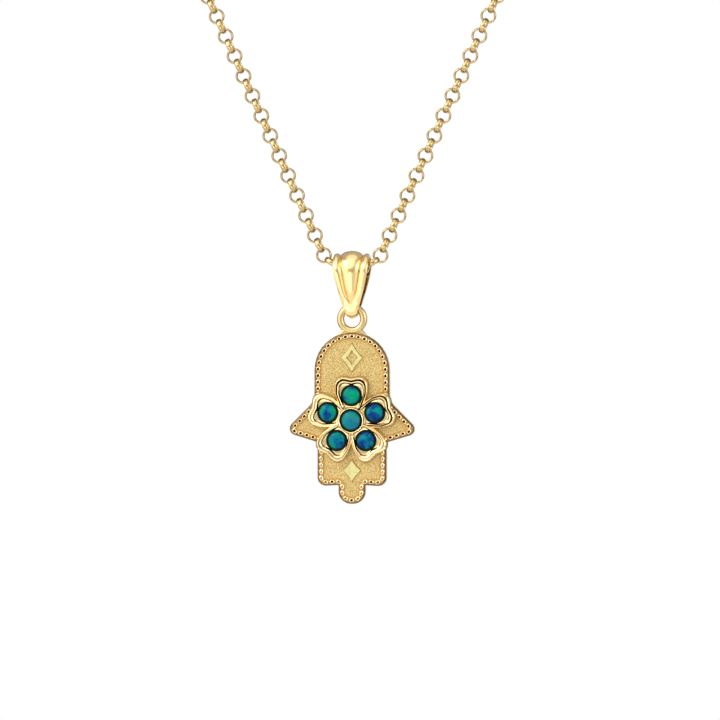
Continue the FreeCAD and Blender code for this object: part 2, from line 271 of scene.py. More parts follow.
def fitted(material, value, low, high, to_low, to_high):
    """A value moved from one range to another."""
    node = material.node_tree.nodes.new("ShaderNodeMapRange")
    for socket, number in zip(("From Min", "From Max", "To Min", "To Max"), (low, high, to_low, to_high)):
        node.inputs[socket].default_value = number
    material.node_tree.links.new(value, node.inputs["Value"])
    return node.outputs["Result"]


def pitted(material, surface, value, depth):
    """A bump of a depth in metres, from a value between nought and one."""
    bump = material.node_tree.nodes.new("ShaderNodeBump")
    bump.inputs["Distance"].default_value = depth
    bump.inputs["Strength"].default_value = 1.0
    material.node_tree.links.new(value, bump.inputs["Height"])
    material.node_tree.links.new(bump.outputs["Normal"], surface.inputs["Normal"])


def laid_over(material, share, under, colour):
    """Lay a share of a plain colour over what is under it, and make that the surface's colour."""
    links = material.node_tree.links
    mix = material.node_tree.nodes.new("ShaderNodeMix")
    mix.data_type = "RGBA"
    links.new(share, mix.inputs["Factor"])
    links.new(under, mix.inputs[6])
    mix.inputs[7].default_value = (*colour, 1.0)
    surface = material.node_tree.nodes["Principled BSDF"]
    links.new(mix.outputs[2], surface.inputs["Base Color"])


def darkened(material, attribute, colour):
    """Bring a darker colour into a surface where an attribute of the mesh says so."""
    nodes = material.node_tree.nodes
    mark = nodes.new("ShaderNodeAttribute")
    mark.attribute_name = attribute
    tone = nodes["Principled BSDF"].inputs["Base Color"].links[0].from_socket
    laid_over(material, mark.outputs["Fac"], tone, colour)


def gold_shader(name, tones, tone_grain, rough_grain, roughness):
    """A gold whose tone and roughness each follow a noise, and its surface shader."""
    material, surface = shader(name, Metallic=1.0)
    links = material.node_tree.links
    tone = ramp(material, grain(material, *tone_grain), tones)
    links.new(tone, surface.inputs["Base Color"])
    rough = fitted(material, grain(material, rough_grain), *NOISE_RANGE, *roughness)
    links.new(rough, surface.inputs["Roughness"])
    return material, surface


def polished_gold(name, bright, dull, painted_shade_share=1.0, paler=0.0):
    """Buffed gold, with faint waves of handwork, a slight change of tone and painted dark reflections.

    Bright and dull are the least and most roughness. A tone share below one darkens the colour as painted
    shade. Paler is a share of white in its colour, as a painted highlight.
    """
    deep = [painted_shade_share * c * (1 - paler) + paler for c in DEEP_GOLD]
    pale = [painted_shade_share * c * (1 - paler) + paler for c in PALE_GOLD]
    tones = list(zip(NOISE_RANGE, (deep, pale)))
    material, surface = gold_shader(name, tones, [TONE_GRAIN], BUFF_GRAIN, (bright, dull))
    pitted(material, surface, grain(material, WAVE_GRAIN), WAVE_DEEP * MM)
    darkened(material, "dark_mark", PAINTED_REFLECTION_COLOUR)
    return material


def sandblasted_gold():
    """Gold blasted to an even grain, a little deeper in tone than the polished gold, with painted shade at
    its edges.
    """
    blast = (BLAST_GRAIN, BLAST_DETAIL, BLAST_COARSE)
    material, surface = gold_shader("sandblasted_gold", BLAST_TONES, blast, SATIN_GRAIN, BLAST_ROUGH)
    pitted(material, surface, grain(material, *blast), BLAST_DEEP * MM)
    darkened(material, "painted_edge_shade", BLAST_PAINTED_SHADE)
    return material


gold = polished_gold("polished_gold", 0.05, 0.11)
matte_gold = sandblasted_gold()

plate_rings = []
shades = {"painted_edge_shade": [], "dark_mark": []}
for inset, forward, painted_edge_shade, dark_mark in PLATE_SKIN:
    ring = in_frame(outline(mirrored(HAND_CORNERS), inset), plate_back - forward)
    plate_rings.append(ring)
    shades["painted_edge_shade"] += [painted_edge_shade] * len(ring)
    shades["dark_mark"] += [dark_mark] * len(ring)
hand = skinned("hand_plate", plate_rings, marks=shades)
hand.data.materials.append(gold)
hand.data.materials.append(matte_gold)
for face in hand.data.polygons:
    level = abs(face.center.y / MM - field_front) < NEAR
    if level and face.normal.y < FACES_FRONT:
        face.material_index = 1
crisp(hand, HAND_CRISP)
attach(hand, "pendant")
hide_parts("hamsa")


# Beaded border
# A line of small round beads, rolled or punched along the inside of the lip, cast with the plate and
# polished. They stand half out of the field.

BEADS = 72
BEAD_RADIUS = 0.30
BEAD_LONG = 1.28
BEAD_INSET = 0.48
BEAD_UNEVEN = 0.06
BEAD_SEED = 4
BEAD_SEGMENTS = 12
BEAD_ROWS = 13

# A painted dark reflection covers the front of a bead beyond this share of its radius, and is paler beside
# the fingers by this much
BEAD_TOP = 0.82
PALER_BESIDE_FINGERS = 0.35


def tree_of(name, inputs):
    """A Geometry Nodes tree with geometry in and out and named inputs, and a function that adds to it."""
    tree = bpy.data.node_groups.new(name, "GeometryNodeTree")
    tree.interface.new_socket("Geometry", in_out="INPUT", socket_type="NodeSocketGeometry")
    tree.interface.new_socket("Geometry", in_out="OUTPUT", socket_type="NodeSocketGeometry")
    for label, kind in inputs:
        tree.interface.new_socket(label, in_out="INPUT", socket_type="NodeSocket" + kind)
    entry = tree.nodes.new("NodeGroupInput")

    def add(kind, sockets, out=0, **settings):
        made = tree.nodes.new(kind)
        for setting, value in settings.items():
            setattr(made, setting, value)
        for socket, value in sockets.items():
            if isinstance(value, bpy.types.NodeSocket):
                tree.links.new(value, made.inputs[socket])
            else:
                made.inputs[socket].default_value = value
        return made.outputs[out] if made.outputs else None

    return tree, entry.outputs, add


def finished(tree, add, geometry, material):
    """End a tree by making its instances real and giving them their material."""
    real = add("GeometryNodeRealizeInstances", {"Geometry": geometry})
    dressed = add("GeometryNodeSetMaterial", {"Geometry": real, "Material": material})
    smooth = add("GeometryNodeSetShadeSmooth", {0: dressed})
    tree.nodes.new("NodeGroupOutput")
    tree.links.new(smooth, tree.nodes["Group Output"].inputs[0])


def grown(thing, tree, values):
    """Run a tree on an object with the values of its named inputs, and keep the plain mesh."""
    modifier = thing.modifiers.new(tree.name, "NODES")
    modifier.node_group = tree
    for item in tree.interface.items_tree:
        if item.in_out == "INPUT" and item.name in values:
            modifier[item.identifier] = values[item.name]
    graph = bpy.context.evaluated_depsgraph_get()
    mesh = bpy.data.meshes.new_from_object(thing.evaluated_get(graph), depsgraph=graph)
    mesh.name = thing.name
    thing.modifiers.clear()
    thing.data = mesh
    return thing


def line_object(name, runs, closed=False):
    """An object of bare lines through points in metres."""
    points, edges = [], []
    for run in runs:
        first = len(points)
        points += run
        edges += [(i, i + 1) for i in range(first, len(points) - 1)]
        if closed:
            edges.append((len(points) - 1, first))
    mesh = bpy.data.meshes.new(name)
    mesh.from_pydata(points, edges, [])
    return placed(name, mesh)


def bead_tree(material):
    """Round beads along a closed line, each a little longer along it, and a little uneven."""
    tree, given, add = tree_of(
        "beads_along_line",
        [("Beads", "Int"), ("Radius", "Float"), ("Long", "Float"), ("Uneven", "Float")],
    )
    line = add("GeometryNodeMeshToCurve", {"Mesh": given["Geometry"]})
    places = add("GeometryNodeResampleCurve", {"Curve": line, "Count": given["Beads"]})
    ball = add(
        "GeometryNodeMeshUVSphere",
        {"Segments": BEAD_SEGMENTS, "Rings": BEAD_ROWS, "Radius": given["Radius"]},
    )
    ball = add("GeometryNodeTransform", {"Geometry": ball, "Rotation": (math.pi / 2, 0.0, 0.0)})
    place = add("GeometryNodeInputPosition", {})
    forward = add("ShaderNodeSeparateXYZ", {"Vector": place}, out=1)
    # Painted dark reflection on the front of each bead
    top = add("ShaderNodeMath", {0: given["Radius"], 1: -BEAD_TOP}, operation="MULTIPLY")
    mark = add("ShaderNodeMath", {0: forward, 1: top}, operation="LESS_THAN")
    ball = add("GeometryNodeStoreNamedAttribute", {"Geometry": ball, "Name": "dark_mark", "Value": mark})
    tangent = add("GeometryNodeInputTangent", {})
    turn = add("FunctionNodeAlignRotationToVector", {"Vector": tangent}, axis="X", pivot_axis="Y")
    low = add("ShaderNodeMath", {0: 1.0, 1: given["Uneven"]}, operation="SUBTRACT")
    high = add("ShaderNodeMath", {0: 1.0, 1: given["Uneven"]}, operation="ADD")
    chance = add("FunctionNodeRandomValue", {2: low, 3: high, "Seed": BEAD_SEED}, out=1)
    long = add("ShaderNodeMath", {0: chance, 1: given["Long"]}, operation="MULTIPLY")
    stretch = add("ShaderNodeCombineXYZ", {"X": long, "Y": chance, "Z": chance})
    beads = add(
        "GeometryNodeInstanceOnPoints",
        {"Points": places, "Instance": ball, "Rotation": turn, "Scale": stretch},
    )
    finished(tree, add, beads, material)
    return tree


bead_line = in_frame(outline(mirrored(HAND_CORNERS), BEAD_INSET), field_front)
border = line_object("beaded_border", [bead_line], closed=True)
# The beads' gold is a paler copy of the polished gold, as a painted highlight
bead_gold = polished_gold("bead_gold", 0.16, 0.24, paler=0.25)
grown(
    border,
    bead_tree(bead_gold),
    {"Beads": BEADS, "Radius": BEAD_RADIUS * MM, "Long": BEAD_LONG, "Uneven": BEAD_UNEVEN},
)

# The painted dark reflections on the beads beside the fingers are made paler
fingers_start = flower_z + HAND_CORNERS[3][1]
points_of_beads = np.array([v.co for v in border.data.vertices]).reshape(BEADS, -1, 3)
middles = points_of_beads.mean(axis=1)
along = np.roll(middles, -1, axis=0) - np.roll(middles, 1, axis=0)
steep = np.abs(along[:, 2]) / np.linalg.norm(along, axis=1)
beside_fingers = steep * (middles[:, 2] / MM < fingers_start)
for i, mark in enumerate(border.data.attributes["dark_mark"].data):
    mark.value *= 1 - PALER_BESIDE_FINGERS * beside_fingers[i // points_of_beads.shape[1]]
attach(border, "pendant")


# Diamonds
# Two raised diamonds with sides that curve in, cast with the plate and cut bright on top: an open
# frame above the flower and a solid one below it.

# Columns: middle above the flower's middle, half width, half height
UPPER_DIAMOND = (7.77, 1.35, 1.75)
UPPER_WINDOW = (7.77, 0.70, 0.93)
LOWER_DIAMOND = (-6.25, 1.08, 1.36)
DIAMOND_BOW = 0.04
DIAMOND_HIGH = 0.22
DIAMOND_EDGE = 0.06
DIAMOND_ROOT = 0.05
DIAMOND_CRISP = 30
SKIRT = 0.07
SKIRT_HIGH = 0.012
SKIRT_STEP = 0.01

# How far a tip moves across and up when the sides are drawn in by one
TIP_ACROSS = 1.5
TIP_UP = 1.7

# The bright cut: its colours, each with its place in the noise, the colour of the painted shade on the
# skirts, grain and roughness
CUT_TONES = [(0.35, (0.61, 0.56, 0.245)), (0.65, (0.69, 0.64, 0.29))]
CUT_PAINTED_SHADE = (0.42, 0.22, 0.06)
CUT_GRAIN = 1800.0
CUT_ROUGH = (0.30, 0.36)


def pinched(middle, half_wide, half_high, shrink=0.0, steps=8):
    """Points round a diamond whose four sides curve in, made smaller all round by shrink."""
    wide = half_wide - shrink * TIP_ACROSS
    high = half_high - shrink * TIP_UP
    tips = [(wide, 0), (0, -high), (-wide, 0), (0, high)]
    points = []
    for here, there in zip(tips, tips[1:] + tips[:1]):
        for step in range(steps):
            share = step / steps
            bow = 1 - 4 * DIAMOND_BOW * 2 * share * (1 - share)
            x = (here[0] + (there[0] - here[0]) * share) * bow
            z = (here[1] + (there[1] - here[1]) * share) * bow
            points.append((x, middle + z))
    return points


def bright_cut_gold():
    """Flat cut gold with a satin shine, paler than the rest, with painted shade on its skirts."""
    material, _ = gold_shader("bright_cut_gold", CUT_TONES, [CUT_GRAIN], SATIN_GRAIN, CUT_ROUGH)
    darkened(material, "painted_edge_shade", CUT_PAINTED_SHADE)
    return material


def diamond(name, outer, inner=None):
    """A raised diamond on a thin skirt of painted shade, solid or with a window."""
    top = field_front - DIAMOND_HIGH
    skirt = field_front - SKIRT_HIGH
    root = field_front + DIAMOND_ROOT
    # Columns: drawn in, depth, painted shade
    side = [
        (-SKIRT, root, 1.0),
        (-SKIRT, skirt, 1.0),
        (-SKIRT_STEP, skirt, 1.0),
        (0.0, top + DIAMOND_EDGE, 0.0),
        (DIAMOND_EDGE, top, 0.0),
    ]
    section = [(outer, *row) for row in side]
    if inner:
        section += [(inner, -drawn_in, y, shade) for drawn_in, y, shade in reversed(side)]
    rings = [in_frame(pinched(*shape, drawn_in), y) for shape, drawn_in, y, _ in section]
    values = [row[-1] for row, ring in zip(section, rings) for _ in ring]
    made = skinned(name, rings, ring_of_rings=bool(inner), marks={"painted_edge_shade": values})
    made.data.materials.append(bright)
    crisp(made, DIAMOND_CRISP)
    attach(made, "pendant")


bright = bright_cut_gold()
diamond("upper_diamond", UPPER_DIAMOND, UPPER_WINDOW)
diamond("lower_diamond", LOWER_DIAMOND)


# Flower
# Five heart-shaped petals round a bezel, cast with the plate. Each is a round polished rim about a
# hollow, with painted shade in its seat for the stone. The petals run into each other beside the bezel.

PETALS = 5
PETAL_HIGH = 1.0
PETAL_FLOOR = 0.45
PETAL_START = 1.50
PETAL_PARTS = 8
FLOWER_CRISP = 50
STONE_OUT = 3.10

# A petal's seat: depth, radius, how near the bezel the painted shade still reaches, share of the way to
# its edge where the hollow's floor starts, drop of its edge, share of its radius that is left flat, and
# the colour of its painted shade
SEAT_DEEP = 0.72
SEAT_RADIUS = 1.35
SEAT_NEAR_BEZEL = 2.0
SEAT_APPROACH = 0.12
SEAT_DROP = 0.04
SEAT_FLAT = 0.4
SEAT_PAINTED_SHADE = (0.030, 0.024, 0.006)

# Corners of a petal's outer edge and of its hollow, right half, from the bezel outwards
# Columns: across, out, radius
PETAL_EDGE = [(1.30, 1.10, 0.05), (2.10, 3.35, 2.2), (2.10, 5.70, 1.08), (0.0, 5.25, 0.25)]
PETAL_HOLLOW = [(0.78, 1.66, 0.15), (1.46, 3.20, 1.5), (1.41, 4.66, 0.62), (0.0, 4.40, 0.2)]

# Section of a petal's rim, from its outer edge to its hollow
# Columns: share of the way in, height above the field, strength of the painted dark reflection
PETAL_RIM = [
    (-0.10, -0.05, 0.55),
    (-0.10, 0.012, 0.55),
    (0.00, 0.012, 0.55),
    (0.00, 0.45, 0.0),
    (0.03, 0.62, 0.0),
    (0.09, 0.76, 0.0),
    (0.18, 0.88, 0.0),
    (0.28, 0.96, 0.0),
    (0.32, 0.98, 1.0),
    (0.46, 1.00, 1.0),
    (0.60, 0.98, 1.0),
    (0.64, 0.96, 0.0),
    (0.76, 0.90, 0.0),
    (0.84, 0.80, 0.1),
    (0.88, 0.70, 0.8),
    (1.00, 0.56, 0.6),
]

# Strength of the painted dark reflection along the crest of each petal, from the top one clockwise, and
# the least mark of a crest
CREST_PAINTED_REFLECTION = [1.0, 0.96, 0.32, 0.55, 0.2]
CREST_MARK = 0.9

# Section of the middle bezel, from its outside to the middle of its seat
# Columns: radius, height above the field
BEZEL = [
    (1.63, -0.05),
    (1.61, 0.60),
    (1.60, 0.88),
    (1.58, 1.00),
    (1.54, 1.07),
    (1.49, 1.10),
    (1.45, 1.08),
    (1.42, 1.02),
    (1.40, 0.92),
    (1.40, 0.50),
    (0.60, 0.50),
]
# Painted shade fills the bezel's seat inside this radius and below this height above the field
BEZEL_SEAT = 1.405
BEZEL_SHADE_BELOW = 0.9


def marked(thing, name, test):
    """Store what a test says of each point of the mesh, as an attribute."""
    values = [float(test(vertex.co / MM)) for vertex in thing.data.vertices]
    thing.data.attributes.new(name, "FLOAT", "POINT").data.foreach_set("value", values)


def seat_gold():
    """Polished gold with painted shade in the seats, where an attribute of the mesh says so."""
    # A little paler than the polished gold, as a painted highlight
    material = polished_gold("flower_gold", 0.06, 0.13, paler=0.08)
    darkened(material, "painted_seat_shade", SEAT_PAINTED_SHADE)
    return material


def one_petal():
    """The petal that points up, round the flower's middle."""
    edge = outline(mirrored(PETAL_EDGE), between=PETAL_PARTS)
    edge = [p.normalized() * max(p.length, PETAL_START) for p in edge]
    hollow = outline(mirrored(PETAL_HOLLOW), between=PETAL_PARTS)
    rings = []
    marks = []
    for share, high, dark in PETAL_RIM:
        between = [a.lerp(b, share) for a, b in zip(edge, hollow)]
        rings.append(in_frame(between, field_front - high))
        marks += [dark] * len(between)
    floor = field_front - (PETAL_HIGH - PETAL_FLOOR)
    seat_bottom = field_front - PETAL_HIGH + SEAT_DEEP
    stone = Vector((0, STONE_OUT))
    seat = [stone + (p - stone).normalized() * SEAT_RADIUS for p in hollow]
    seat_flat = [stone + (p - stone) * SEAT_FLAT for p in seat]
    approach = [p.lerp(q, SEAT_APPROACH) for p, q in zip(hollow, seat)]
    inside = [
        (approach, floor),
        (seat, floor),
        (seat, floor + SEAT_DROP),
        (seat, seat_bottom),
        (seat_flat, seat_bottom),
    ]
    rings += [in_frame(points, y) for points, y in inside]
    marks += [0.0] * (len(hollow) * len(inside))
    petal = skinned("petals", rings, marks={"dark_mark": marks})
    seat_top = floor + SEAT_DROP - NEAR

    def in_seat(p):
        from_stone = (p.xz - Vector((0, flower_z + STONE_OUT))).length
        from_middle = (p.xz - Vector((0, flower_z))).length
        return p.y > seat_top and (from_stone < SEAT_RADIUS + NEAR or from_middle < SEAT_NEAR_BEZEL)

    # Painted shade in the seat for the stone and in the hollow near the bezel
    marked(petal, "painted_seat_shade", in_seat)
    crisp(petal, FLOWER_CRISP)
    return petal


def petal_tree(material):
    """The same petal turned round a middle as often as the flower has petals."""
    tree, given, add = tree_of("petals_round_middle", [("Petals", "Int"), ("Middle", "Vector")])
    back = add("ShaderNodeVectorMath", {0: given["Middle"], 1: (-1.0, -1.0, -1.0)}, operation="MULTIPLY")
    centred = add("GeometryNodeTransform", {"Geometry": given["Geometry"], "Translation": back})
    point = add("GeometryNodePoints", {"Count": given["Petals"], "Position": given["Middle"]})
    number = add("GeometryNodeInputIndex", {})
    step = add("ShaderNodeMath", {0: math.tau, 1: given["Petals"]}, operation="DIVIDE")
    angle = add("ShaderNodeMath", {0: number, 1: step}, operation="MULTIPLY")
    turn = add("ShaderNodeCombineXYZ", {"Y": angle})
    petals = add("GeometryNodeInstanceOnPoints", {"Points": point, "Instance": centred, "Rotation": turn})
    finished(tree, add, petals, material)
    return tree


def turned(name, section, middle, sides=72):
    """A solid of revolution that faces the front. The section is radius and height above the field."""
    rings = []
    for radius, high in section:
        ring = []
        for side in range(sides):
            angle = math.tau * side / sides
            ring.append((middle[0] + radius * math.sin(angle), middle[1] + radius * math.cos(angle)))
        rings.append(in_frame(ring, field_front - high))
    return skinned(name, rings)


flower_gold = seat_gold()
petals = one_petal()
grown(
    petals,
    petal_tree(flower_gold),
    {"Petals": PETALS, "Middle": Vector((0, field_front, flower_z)) * MM},
)
# Each petal's crest gets its own strength of painted dark reflection
for vertex, mark in zip(petals.data.vertices, petals.data.attributes["dark_mark"].data):
    turn = math.atan2(vertex.co.x, vertex.co.z - flower_z * MM)
    if mark.value > CREST_MARK:
        mark.value = CREST_PAINTED_REFLECTION[round(turn / math.tau * PETALS) % PETALS]
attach(petals, "pendant")


def in_bezel_seat(p):
    """Whether a point of the bezel is in its seat, which has painted shade."""
    from_middle = (p.xz - Vector((0, flower_z))).length
    return p.y > field_front - BEZEL_SHADE_BELOW and from_middle < BEZEL_SEAT


bezel = turned("middle_bezel", BEZEL, (0, 0))
marked(bezel, "painted_seat_shade", in_bezel_seat)
bezel.data.materials.append(flower_gold)
crisp(bezel, FLOWER_CRISP)
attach(bezel, "pendant")


# Opals
# Six round cabochons glued into their seats: five vivid blue and green ones in the petals and a paler
# milky one in the middle, with patches of colour that lie under the polish.

# Columns: node, turn round the flower in degrees, share of green, and a blue patch's place across and up
# from the middle of the stone and how strong it is
PETAL_STONES = [
    ("petal_stone_1", 0, 0.67, -0.85, -0.35, 0.12),
    ("petal_stone_2", -72, 0.65, 0.15, -0.50, 0.28),
    ("petal_stone_3", -144, 0.60, 0.00, 0.05, 0.14),
    ("petal_stone_4", 144, 0.48, -0.15, -0.35, 0.12),
    ("petal_stone_5", 72, 0.56, -0.20, -0.25, 0.18),
]
BLUE_REACH = 0.55
STONE_GAP = 0.05
DOME_FLAT = 0.02

# Where painted shade starts on a stone towards its rim, as a share of its radius, how fast it grows, and
# its colour
RIM_STARTS = 0.84
RIM_POWER = 0.8
RIM_PAINTED_SHADE = (0.0, 0.012, 0.010)

# Columns: radius, height of the seat above the field, height of the straight side, rise of the dome
PETAL_CUT = (1.12, PETAL_HIGH - SEAT_DEEP, 0.30, 0.42)
MIDDLE_CUT = (1.22, 0.50, 0.40, 0.45)
PETAL_STONE_SIDES = 56
MIDDLE_STONE_SIDES = 64

# How far a noise bends the patches of colour, and its size against theirs
SWIRL = 0.9
SWIRL_SIZE = 0.8
PATCH_DETAIL = 2.5
PATCH_RANGE = (0.82, 1.28)

# The fine veil over the patches: how much finer it is, its detail, its range and its strength
VEIL_FINER = 3.2
VEIL_DETAIL = 3.0
VEIL_RANGE = (0.45, 0.70)
VEIL_STRENGTH = 0.5


def dome_section(radius, seat, side, dome, rounds=14):
    """Section of a cabochon that stands on its seat, from its edge to its top."""
    ball = (radius**2 + dome**2) / (2 * dome)
    base = seat + STONE_GAP
    section = [(radius * 0.5, base), (radius, base), (radius, base + side * 0.5)]
    edge = math.asin(radius / ball)
    for step in range(rounds):
        angle = edge * (1 - step / rounds)
        section.append((ball * math.sin(angle), base + side + dome - ball + ball * math.cos(angle)))
    section.append((DOME_FLAT, base + side + dome))
    return section


def opal(name, colours, veil, scale):
    """Opal: patches of colour by a warped noise, shifted by the attribute green_share, with painted shade
    towards its rim.
    """
    material, _ = shader(name, Roughness=0.10, IOR=1.45, Specular_IOR_Level=0.06)
    nodes, links = material.node_tree.nodes, material.node_tree.links
    place = nodes.new("ShaderNodeTexCoord")
    swirl = grain(material, scale * SWIRL_SIZE).node
    push = nodes.new("ShaderNodeVectorMath")
    push.operation = "MULTIPLY_ADD"
    links.new(swirl.outputs["Color"], push.inputs[0])
    push.inputs[1].default_value = (SWIRL * MM, SWIRL * MM, SWIRL * MM)
    links.new(place.outputs["Object"], push.inputs[2])
    patch = nodes.new("ShaderNodeTexNoise")
    patch.inputs["Scale"].default_value = scale
    patch.inputs["Detail"].default_value = PATCH_DETAIL
    links.new(push.outputs["Vector"], patch.inputs["Vector"])
    share = nodes.new("ShaderNodeAttribute")
    share.attribute_name = "green_share"
    shift = nodes.new("ShaderNodeMath")
    links.new(patch.outputs["Fac"], shift.inputs[0])
    links.new(share.outputs["Fac"], shift.inputs[1])
    shifted = fitted(material, shift.outputs["Value"], *PATCH_RANGE, 0.0, 1.0)
    tone = ramp(material, shifted, colours)
    fine = grain(material, scale * VEIL_FINER, VEIL_DETAIL)
    laid_over(material, fitted(material, fine, *VEIL_RANGE, 0.0, VEIL_STRENGTH), tone, veil)
    darkened(material, "painted_rim_shade", RIM_PAINTED_SHADE)
    return material


def cabochon(name, node, middle, cut, sides, green, blue, material, slot):
    """A stone turned from its cut, with painted shade towards its rim, in place of its plain node.

    Green is its share of green. Blue is the place and strength of its blue patch.
    """
    stone = turned(name, dome_section(*cut), middle, sides)
    stone_middle = Vector((middle[0], middle[1] + flower_z))
    blue_middle = stone_middle + Vector(blue[:2])

    def rim(p):
        share = ((p.xz - stone_middle).length / cut[0] - RIM_STARTS) / (1 - RIM_STARTS)
        return min(max(share, 0.0), 1.0) ** RIM_POWER

    def greenness(p):
        return green - blue[2] * math.exp(-(((p.xz - blue_middle).length / BLUE_REACH) ** 2))

    marked(stone, "painted_rim_shade", rim)
    marked(stone, "green_share", greenness)
    stone.data.materials.append(material)
    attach(stone, "pendant")
    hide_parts(node)


vivid_opal = opal(
    "vivid_opal",
    [
        (0.15, (0.000, 0.008, 0.100)),
        (0.40, (0.000, 0.032, 0.155)),
        (0.47, (0.000, 0.078, 0.145)),
        (0.55, (0.000, 0.145, 0.125)),
        (0.85, (0.000, 0.205, 0.100)),
    ],
    (0.000, 0.110, 0.190),
    620.0,
)
milky_opal = opal(
    "milky_opal",
    [
        (0.15, (0.000, 0.105, 0.175)),
        (0.45, (0.000, 0.140, 0.160)),
        (0.65, (0.000, 0.165, 0.135)),
        (0.85, (0.020, 0.115, 0.170)),
    ],
    (0.040, 0.095, 0.170),
    560.0,
)

for node, degrees, green, *blue in PETAL_STONES:
    turn = math.radians(degrees)
    middle = (STONE_OUT * math.sin(turn), STONE_OUT * math.cos(turn))
    cut = (PETAL_CUT, PETAL_STONE_SIDES)
    cabochon("opal_" + node[-1], node, middle, *cut, green, blue, vivid_opal, "petal_opal")
cut = (MIDDLE_CUT, MIDDLE_STONE_SIDES)
cabochon("opal_middle", "middle_stone", (0, 0), *cut, 0.5, (0, 0, 0), milky_opal, "middle_opal")


# Loop
# A ring of round gold wire, soldered shut and set upright on a small foot at the top of the plate.
# The bail hangs in it.

LOOP_RADIUS = 1.45
LOOP_WIRE = 0.45
FOOT_CRISP = 40

# The foot's outline, right half, from the flower's middle
# Columns: across, up, radius
FOOT = [(1.00, 11.45, 0.25), (1.72, 10.80, 0.18), (1.80, 10.36, 0.02), (0.0, 10.60, 4.0)]

# Columns: drawn in from the foot's outline, in front of its middle
FOOT_FRONT = [(0.26, 0.34), (0.10, 0.32), (0.03, 0.27), (0.0, 0.20)]
FOOT_SKIN = FOOT_FRONT + [(inset, -forward) for inset, forward in reversed(FOOT_FRONT)]


def wire_ring(name, middle, ring_radius, wire_radius, sides=72, wire_sides=24):
    """A ring of round wire that stands in the plane of the pendant."""
    rings = []
    for side in range(sides):
        angle = math.tau * side / sides
        ring = []
        for part in range(wire_sides):
            round_wire = math.tau * part / wire_sides
            out = ring_radius + wire_radius * math.cos(round_wire)
            x = middle.x + out * math.sin(angle)
            y = middle.y + wire_radius * math.sin(round_wire)
            z = middle.z + out * math.cos(angle)
            ring.append(Vector((x, y, z)) * MM)
        rings.append(ring)
    return skinned(name, rings, ring_of_rings=True)


def joined(name, things):
    """Several meshes as one piece."""
    with bpy.context.temp_override(active_object=things[0], selected_editable_objects=things):
        bpy.ops.object.join()
    things[0].name = name
    return things[0]


loop_middle = Vector((0, chain_middle.y, loop_wire_middle.z - LOOP_RADIUS))
ring = wire_ring("loop_ring", loop_middle, LOOP_RADIUS, LOOP_WIRE)
foot_rings = []
for inset, forward in FOOT_SKIN:
    foot_rings.append(in_frame(outline(mirrored(FOOT), inset), chain_middle.y - forward))
foot = skinned("loop_foot", foot_rings)
crisp(foot, FOOT_CRISP)
loop = joined("loop", [ring, foot])
loop.data.materials.clear()
# A darker copy of the polished gold, as painted shade
loop_gold = polished_gold("loop_gold", 0.26, 0.34, painted_shade_share=0.62)
loop.data.materials.append(loop_gold)
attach(loop, "pendant")


# Bail
# A cast and fluted band of gold, folded over the chain and through the loop, its ends soldered behind.
# A long drop-shaped rib runs down its front between two side ribs that meet under the drop.

ARCH_RADIUS = 1.55
ARCH_BELOW = 0.27
BEND_RADIUS = 0.80
BAIL_WALL = 0.25
hinge_drop = chain_middle.z - loop_wire_middle.z
arch_middle = Vector((0, 0, -ARCH_BELOW))
bend_middle = Vector((0, 0, -hinge_drop))
bail_lean = 90 + math.degrees(math.asin((ARCH_RADIUS - BEND_RADIUS) / (hinge_drop - ARCH_BELOW)))

# Stations from the top of the arch down the front to the lowest point of the bend
# Columns: place on the band, half width, half width of the drop, rise of the drop, rise of the side ribs,
# rise of the whole section
# Places: 0 to 100 on the arch, 100 to 200 down the wall and 200 to 300 round the bend
BAIL_STATIONS = [
    (0, 2.17, 1.37, 0.58, 0.27, 0.00),
    (25, 2.20, 1.36, 0.58, 0.27, 0.00),
    (50, 2.22, 1.31, 0.57, 0.28, 0.00),
    (75, 2.19, 1.20, 0.55, 0.29, 0.02),
    (100, 2.08, 1.04, 0.51, 0.29, 0.08),
    (130, 1.80, 0.82, 0.44, 0.28, 0.15),
    (155, 1.52, 0.62, 0.34, 0.24, 0.17),
    (168, 1.34, 0.44, 0.24, 0.18, 0.16),
    (178, 1.21, 0.22, 0.10, 0.10, 0.16),
    (186, 1.11, 0.06, 0.02, 0.05, 0.18),
    (200, 0.92, 0.04, 0.01, 0.02, 0.22),
    (240, 0.74, 0.04, 0.01, 0.01, 0.30),
    (270, 0.58, 0.04, 0.01, 0.01, 0.33),
    (300, 0.44, 0.04, 0.01, 0.01, 0.34),
]
BAIL_STEPS = 100
BAIL_CRISP = 42
RIB_POINTS = 12

# The band's edge: its round, the turns of the points on it, and the bevel inside
BAIL_EDGE = 0.08
EDGE_TURNS = (0.5, 1.0, 1.4)
INSIDE_UP = 0.07
INSIDE_IN = 0.05

# The least half width of the drop, and its least distance from the edge
LEAST_DROP = 0.03
LEAST_SIDE = 0.05

# A side rib's crest, as a share of the way in from the edge, how far its fall would reach to each side of
# it, and how full the drop's round is
RIB_CREST = 0.3
RIB_OUTER = 0.55
RIB_INNER = 0.7
DROP_FULLNESS = 0.6

# Behind, the ribs fade to this share of their rise by this place on the band
BACK_RIBS = 0.5
BACK_FADED = 75


def on_band(place):
    """A point on the inside of the band's front, and the way out from it."""
    if place <= 100:
        degrees = bail_lean * place / 100
    elif place <= 200:
        degrees = bail_lean
    else:
        degrees = bail_lean + (180 - bail_lean) * (place - 200) / 100
    angle = math.radians(degrees)
    out = Vector((0, -math.sin(angle), math.cos(angle)))
    down = min(max((place - 100) / 100, 0), 1)
    on_arch = arch_middle + out * ARCH_RADIUS
    on_bend = bend_middle + out * BEND_RADIUS
    return on_arch.lerp(on_bend, down), out


